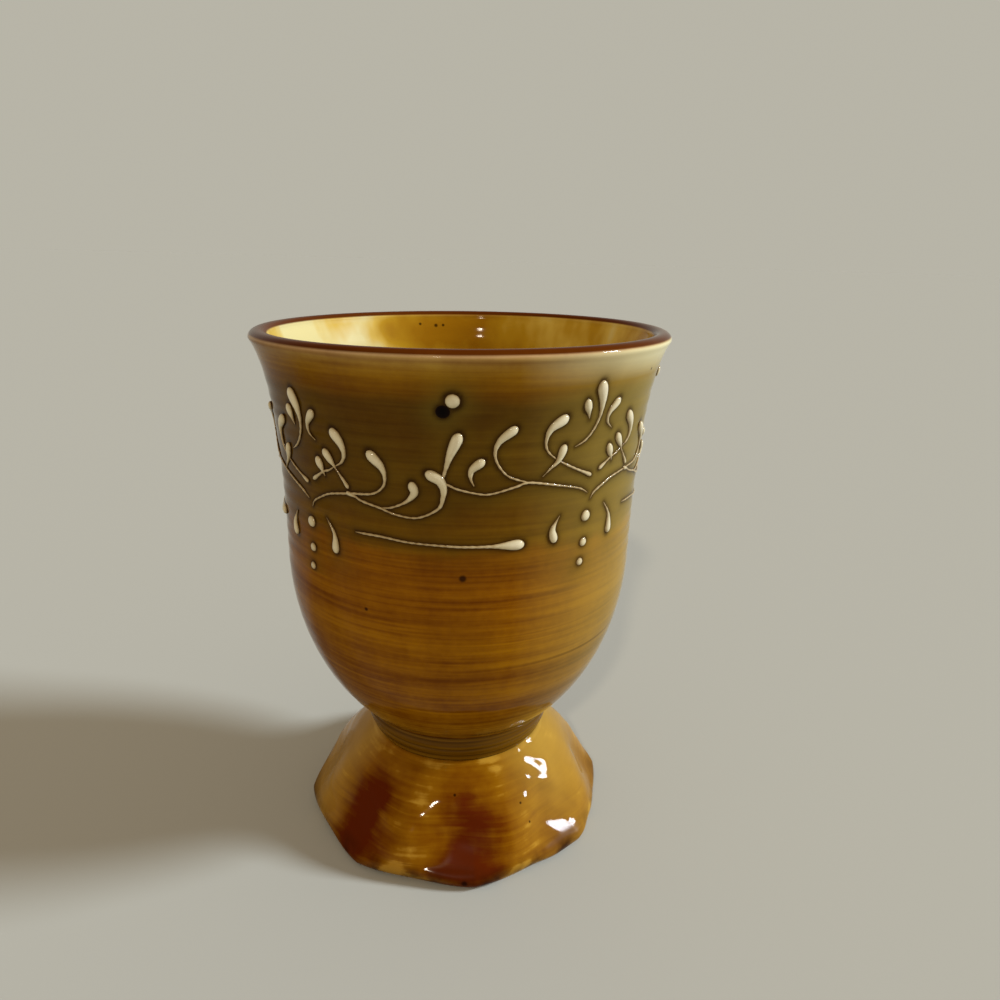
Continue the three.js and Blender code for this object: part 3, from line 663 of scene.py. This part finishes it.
# Foot's outer profile: the round lip from the stand up, then the skirt, bowed out a little, to the neck
def footSkin():
    skirt, lipHeight = foot["skirt"], foot["lipHeight"]
    neck = (foot["neck"], mug["footHeight"] - foot["groove"])
    bulge = (skirt + 2 * foot["lipBulge"], lipHeight / 2)
    lip = bowed((foot["stand"] - foot["standInset"], 0), bulge, (skirt, lipHeight), foot["lipRows"])
    middle = ((skirt + neck[0]) / 2 + foot["bow"], (lipHeight + neck[1]) / 2 + foot["bow"])
    return np.concatenate([lip, bowed((skirt, lipHeight), middle, neck, foot["skinRows"])[1:]])


# Foot: a closed section, down the socket's wall and the hollow, along the stand and up the skin, turned round
# the axis. Its skin is pressed by the thumbs and rippled by a product of two sines.
def makeFoot(material):
    top, socket, edge = mug["footHeight"], foot["socket"], foot["edge"]
    socketBase = top - foot["crown"]
    hollowTop = socket + foot["wall"]
    hollowBase = foot["stand"] - foot["standWidth"]
    soft = foot["rounding"]
    slope = (hollowTop + soft, socketBase - soft)
    inside = np.concatenate([
        [(socket, top), (socket, top - 2), (socket, socketBase + edge), (socket + edge, socketBase)],
        bowed((hollowTop - soft, socketBase), (hollowTop, socketBase), slope, foot["roundRows"]),
        np.linspace(slope, (hollowBase - edge, foot["standInset"]), foot["hollowRows"])[1:],
        [(hollowBase, 0)]])
    skin = footSkin()
    stand = np.linspace((hollowBase, 0), skin[0], foot["standRows"])[1:]
    neck = foot["neck"]
    groove = np.array([(neck - edge, top - edge), (neck - foot["groove"], top), (socket + 5, top)])
    profile = np.concatenate([inside, stand, skin[1:], groove])
    onSkin = np.zeros((len(profile), 1))
    onSkin[len(inside) + len(stand) - 1:-1] = 1
    angle = np.linspace(0, 2 * math.pi, foot["around"], endpoint=False)
    height = profile[:, 1:]
    move, pool = thumbPress(angle, height)
    turns, slant, slowTurns, rise = foot["rippleWave"]
    wave = foot["ripple"] * np.sin(turns * angle + slant * height) * np.sin(rise * height + slowTurns * angle)
    wave = wave * ease(height, *foot["rippleFrom"])
    grid = turned(profile[:, :1] + (move + wave) * onSkin, height, angle)
    mesh = gridMesh("pedestalFoot", grid, {"pool": pool * onSkin, "under": 1 - onSkin}, wrapRows=True)
    piece("pedestalFoot", [mesh], material, "pedestal_foot")


# Amber glaze: sizes of its brush marks and clouds in mm, the share of clouds, and colour by depth
amber = dict(
    brush=(20, 20, 0.91), clouds=7.14, cloudShare=0.62, laid=0.2, patchy=(1.6, 1.7),
    ramp=[(0.0, "#a97d26"), (0.15, "#865708"), (0.4, "#754504"), (0.7, "#602d03"), (1.0, "#571e03")],
    # Painted light on the lit right and a painted sheen on the far left, in one yellow colour
    thinRight=0.55, thinLeft=0.6, thinHigh=(0.6, 1.3), thinColor="#b08c38",
    wipedTop=5.2, wipedFull=2.2, wiped=(0.25, 0.9), wipedColor="#2b1203", underColor="#7a4a14",
)


# Amber glaze run down a pressed foot: golden where it is thin on the crests, red-brown where it pools in the
# hollows
def amberGlaze():
    material, tree, shader = startMaterial("amberGlaze", foot["roughness"], foot["gloss"])
    place = addNode(tree, "TexCoord").outputs["Object"]
    pool, under = (addNode(tree, "Attribute", attribute_name=name).outputs["Fac"]
                   for name in ("pool", "under"))
    stretch = addNode(tree, "Mapping", {"Vector": place, "Scale": patternScale(*amber["brush"])})
    streak = addNode(tree, "TexNoise", {"Vector": stretch, "Scale": 1.0, "Detail": 5.0, "Distortion": 0.4})
    cloud = addNode(tree, "TexNoise", {"Vector": place, "Scale": 1 / (amber["clouds"] * mm), "Detail": 4.0})
    both = addNode(tree, "Mix", {0: amber["cloudShare"], 2: streak, 3: cloud})
    # Depth of the glaze: what is laid on plus the pool, and marks that are stronger where it pools
    shifted = addNode(tree, "Math", {0: both, 1: -0.5}, operation="ADD")
    laid = addNode(tree, "Math", {0: pool, 1: amber["laid"]}, operation="ADD")
    patchy = addNode(tree, "Math", {0: pool, 1: amber["patchy"][0], 2: amber["patchy"][1]},
                     operation="MULTIPLY_ADD")
    depth = addNode(tree, "Math", {0: shifted, 1: patchy, 2: laid}, operation="MULTIPLY_ADD")
    ramp = addNode(tree, "ValToRGB", {"Fac": depth}, stops=amber["ramp"])
    # Painted light, lighter and yellower on the lit right and most of all up by the neck, and a painted sheen
    # on the left
    flat = addNode(tree, "VectorMath", {0: place, 1: (1, 1, 0)}, operation="MULTIPLY")
    outward = addNode(tree, "VectorMath", {0: flat}, operation="NORMALIZE")
    side = addNode(tree, "SeparateXYZ", {0: outward}).outputs["X"]
    z = addNode(tree, "SeparateXYZ", {0: place}).outputs["Z"]
    right = addNode(tree, "MapRange", {"Value": side, "From Min": 0.42, "From Max": 0.85,
                                       "To Max": amber["thinRight"]})
    left = addNode(tree, "MapRange", {"Value": side, "From Min": -0.75, "From Max": -0.92,
                                      "To Max": amber["thinLeft"]})
    high = addNode(tree, "MapRange", {"Value": z, "From Min": 6 * mm, "From Max": 20 * mm,
                                      "To Min": amber["thinHigh"][0], "To Max": amber["thinHigh"][1]})
    upper = addNode(tree, "Math", {0: right, 1: high}, operation="MULTIPLY")
    thin = addNode(tree, "Math", {0: upper, 1: left}, operation="MAXIMUM")
    # Darker along the bottom edge, in patches
    edge = addNode(tree, "MapRange", {"Value": z, "From Min": amber["wipedTop"] * mm,
                                      "From Max": amber["wipedFull"] * mm})
    patch = addNode(tree, "MapRange", {"Value": cloud, "From Min": 0.42, "From Max": 0.6,
                                       "To Min": amber["wiped"][0], "To Max": amber["wiped"][1]})
    wiped = addNode(tree, "Math", {0: edge, 1: patch}, operation="MULTIPLY")
    color = ramp.outputs[0]
    for amount, code in ((thin, "thinColor"), (wiped, "wipedColor"), (under, "underColor")):
        color = addNode(tree, "Mix", {0: amount, 6: color, 7: hexColor(amber[code])},
                        data_type="RGBA").outputs[2]
    skin, spots = footSkin(), []
    for angle, height, half in foot["specks"]:
        turn = math.radians(angle)
        out = np.interp(height, skin[:, 1], skin[:, 0]) + thumbPress(np.array(turn), np.array(height))[0]
        spots.append((*turned(out, height, turn), half))
    tree.links.new(addSpecks(tree, place, color, spots), shader.inputs["Base Color"])
    # The glaze is less smooth and less glossy where it pools
    for socket, key, pooled in (("Roughness", "roughness", "poolRoughness"),
                                ("Specular IOR Level", "gloss", "poolGloss")):
        level = addNode(tree, "MapRange", {"Value": pool, "From Min": 0.35, "From Max": 0.65,
                                           "To Min": foot[key], "To Max": foot[pooled]})
        tree.links.new(level.outputs[0], shader.inputs[socket])
    return material


makeFoot(amberGlaze())
print("foot made")


# White slip under clear glaze: faintly mottled, milky on the domes, tan where it is thin, brown at the edge
def whiteSlip():
    material, tree, shader = startMaterial("whiteSlip", trail["roughness"], trail["gloss"])
    place = addNode(tree, "TexCoord").outputs["Object"]
    crown = addNode(tree, "Attribute", attribute_name="crown").outputs["Fac"]
    mottle = addNode(tree, "TexNoise", {"Vector": place, "Scale": 1 / (trail["mottle"] * mm), "Detail": 2.0})
    most = trail["mottleShift"]
    shifted = addNode(tree, "MapRange", {"Value": mottle, "To Min": -most, "To Max": most})
    cover = addNode(tree, "Math", {0: crown, 1: shifted}, operation="ADD")
    ramp = addNode(tree, "ValToRGB", {"Fac": cover}, stops=trail["ramp"])
    tree.links.new(ramp.outputs[0], shader.inputs["Base Color"])
    return material


# Black iron slip under clear glaze: nearly black, with a faint brown edge
def blackSlip():
    material, tree, shader = startMaterial("blackSlip", trail["roughness"], trail["ironGloss"])
    crown = addNode(tree, "Attribute", attribute_name="crown").outputs["Fac"]
    ramp = addNode(tree, "ValToRGB", {"Fac": crown}, stops=trail["ironRamp"])
    tree.links.new(ramp.outputs[0], shader.inputs["Base Color"])
    return material


slipMaterial, ironMaterial = whiteSlip(), blackSlip()
for node, group in lines.items():
    name = "trail" + node.title().replace("_", "")
    piece(name, [strokeMesh(name, spot, half) for spot, half in group], slipMaterial, node)
for node, (spot, half) in beads.items():
    name = "trail" + node.title().replace("_", "")
    if node.startswith("black"):
        piece(name, [beadMesh(name, spot, half, half * trail["ironRise"])], ironMaterial, node)
    else:
        piece(name, [beadMesh(name, spot, half, half * trail["dotRise"])], slipMaterial, node)
print("trailed slip made")

joining = dict(grain=0.4, roughness=0.85, gloss=0.5, ramp=[(0.3, "#94754c"), (0.7, "#b89a70")])


# Fired joining slip: dry, pale clay with a fine gritty grain
def firedSlip():
    material, tree, shader = startMaterial("firedSlip", joining["roughness"], joining["gloss"])
    place = addNode(tree, "TexCoord").outputs["Object"]
    grain = addNode(tree, "TexNoise", {"Vector": place, "Scale": 1 / (joining["grain"] * mm), "Detail": 3.0})
    ramp = addNode(tree, "ValToRGB", {"Fac": grain}, stops=joining["ramp"])
    tree.links.new(ramp.outputs[0], shader.inputs["Base Color"])
    bump = addNode(tree, "Bump", {"Strength": 0.3, "Distance": 0.2 * mm, "Height": grain})
    tree.links.new(bump.outputs[0], shader.inputs["Normal"])
    return material


# The joining slip keeps its CAD solid
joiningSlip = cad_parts["joining_slip"]
joiningSlip.data.materials.clear()
joiningSlip.data.materials.append(firedSlip())
print("joining slip dressed")

# Floor and lights: strengths, colours, and each lamp's turn from the front, rise and width in degrees. The
# dim room fades in overhead, and in front where the gloss looks against the direction away from the viewer.
stage = dict(
    radius=20000, innerRing=50, rings=24, around=64, floor="#b1b1a5", floorRoughness=0.9,
    fill=0.44, fillColor="#ffead3", room="#2a2724", away=(0.4, 1, 0), overhead=(0.35, 0.8),
    inFront=(-0.1, -0.6), raised=0.25,
)
lamps = dict(
    windowLamp=dict(strength=4.5, color="#e6f0ff", turn=92, rise=27, width=12),
    roomLamp=dict(strength=0.75, color="#fff0dc", turn=-12, rise=34, width=3),
)


# Floor: a flat disc in rings that widen outwards
def makeFloor():
    reach = np.geomspace(stage["innerRing"], stage["radius"], stage["rings"])[:, None]
    angle = np.linspace(0, 2 * math.pi, stage["around"], endpoint=False)
    grid = turned(reach + 0 * angle, 0, angle)
    rows, columns = grid.shape[:2]
    near, far = np.arange(columns), (np.arange(columns) + 1) % columns
    low = 1 + np.arange(rows - 1)[:, None] * columns
    high = low + columns
    faces = np.stack([low + near, high + near, high + far, low + far], -1).reshape(-1, 4).tolist()
    faces += np.stack([near * 0, 1 + near, 1 + far], -1).tolist()
    mesh = bpy.data.meshes.new("floor")
    mesh.from_pydata(np.concatenate([[[0, 0, 0]], grid.reshape(-1, 3) * mm]).tolist(), [], faces)
    floor = bpy.data.objects.new("floor", mesh)
    scene.collection.objects.link(floor)
    material, _, shader = startMaterial("floorPaper", stage["floorRoughness"], 0)
    shader.inputs["Base Color"].default_value = hexColor(stage["floor"])
    mesh.materials.append(material)


# Soft fill from all round and two lamps. What the camera sees at the horizon has the colour of the lit floor:
# its own colour times fill plus each lamp's strength times the sine of its rise over pi. The gloss sees that
# too, but a dim room overhead and in front.
def makeLight():
    lit = stage["fill"] * np.array(hexColor(stage["fillColor"]))
    for name, lamp in lamps.items():
        light = bpy.data.lights.new(name, "SUN")
        light.energy = lamp["strength"]
        light.angle = math.radians(lamp["width"])
        light.color = hexColor(lamp["color"])[:3]
        turn, rise = math.radians(lamp["turn"]), math.radians(lamp["rise"])
        toLamp = Vector((math.sin(turn) * math.cos(rise), -math.cos(turn) * math.cos(rise), math.sin(rise)))
        holder = bpy.data.objects.new(name, light)
        holder.rotation_euler = toLamp.to_track_quat("Z", "Y").to_euler()
        scene.collection.objects.link(holder)
        lit = lit + lamp["strength"] * math.sin(rise) / math.pi * np.array(hexColor(lamp["color"]))
    backdrop = np.array(hexColor(stage["floor"])) * lit
    plain = (*backdrop[:3].tolist(), 1.0)
    world = bpy.data.worlds.new("studio")
    scene.world = world
    world.use_nodes = True
    tree = world.node_tree
    tree.nodes.clear()
    path = addNode(tree, "LightPath")
    way = addNode(tree, "TexCoord").outputs["Generated"]
    upward = addNode(tree, "SeparateXYZ", {0: way}).outputs["Z"]
    away = addNode(tree, "VectorMath", {0: way, 1: stage["away"]}, operation="DOT_PRODUCT").outputs["Value"]
    over, before = (addNode(tree, "MapRange", {"Value": value, "From Min": low, "From Max": high})
                    for value, (low, high) in ((upward, stage["overhead"]), (away, stage["inFront"])))
    raised = addNode(tree, "MapRange", {"Value": upward, "From Max": stage["raised"]})
    facing = addNode(tree, "Math", {0: before, 1: raised}, operation="MULTIPLY")
    dim = addNode(tree, "Math", {0: over, 1: facing}, operation="MAXIMUM")
    room = addNode(tree, "Mix", {0: dim, 6: plain, 7: hexColor(stage["room"])}, data_type="RGBA")
    glossed = addNode(tree, "Mix", {0: path.outputs["Is Glossy Ray"], 6: plain, 7: room.outputs[2]},
                      data_type="RGBA")
    seen = addNode(tree, "Math", {0: path.outputs["Is Camera Ray"], 1: path.outputs["Is Glossy Ray"]},
                   operation="MAXIMUM")
    soft = addNode(tree, "Background", {"Color": hexColor(stage["fillColor"]), "Strength": stage["fill"]})
    shown = addNode(tree, "Background", {"Color": glossed.outputs[2], "Strength": 1.0})
    mix = addNode(tree, "MixShader", {0: seen, 1: soft, 2: shown})
    addNode(tree, "OutputWorld", {"Surface": mix})


# Camera: its place in mm, its pitch down and roll in degrees, its lens, sensor and clip distances
view = dict(place=(9.3, -168, 133.9), pitch=18, roll=1.63, lens=27.04, sensor=36, clip=(0.01, 100))


# Camera moved to its place after a pitch about x and a roll about its own axis
def makeCamera():
    data = bpy.data.cameras.new("camera")
    data.lens = view["lens"]
    data.sensor_width = view["sensor"]
    data.clip_start, data.clip_end = view["clip"]
    camera = bpy.data.objects.new("camera", data)
    tilt = Matrix.Rotation(math.radians(90 - view["pitch"]), 4, "X")
    roll = Matrix.Rotation(math.radians(view["roll"]), 4, "Z")
    camera.matrix_world = Matrix.Translation(Vector(view["place"]) * mm) @ tilt @ roll
    scene.collection.objects.link(camera)
    scene.camera = camera


makeFloor()
makeLight()
makeCamera()
print("floor, light and camera made")
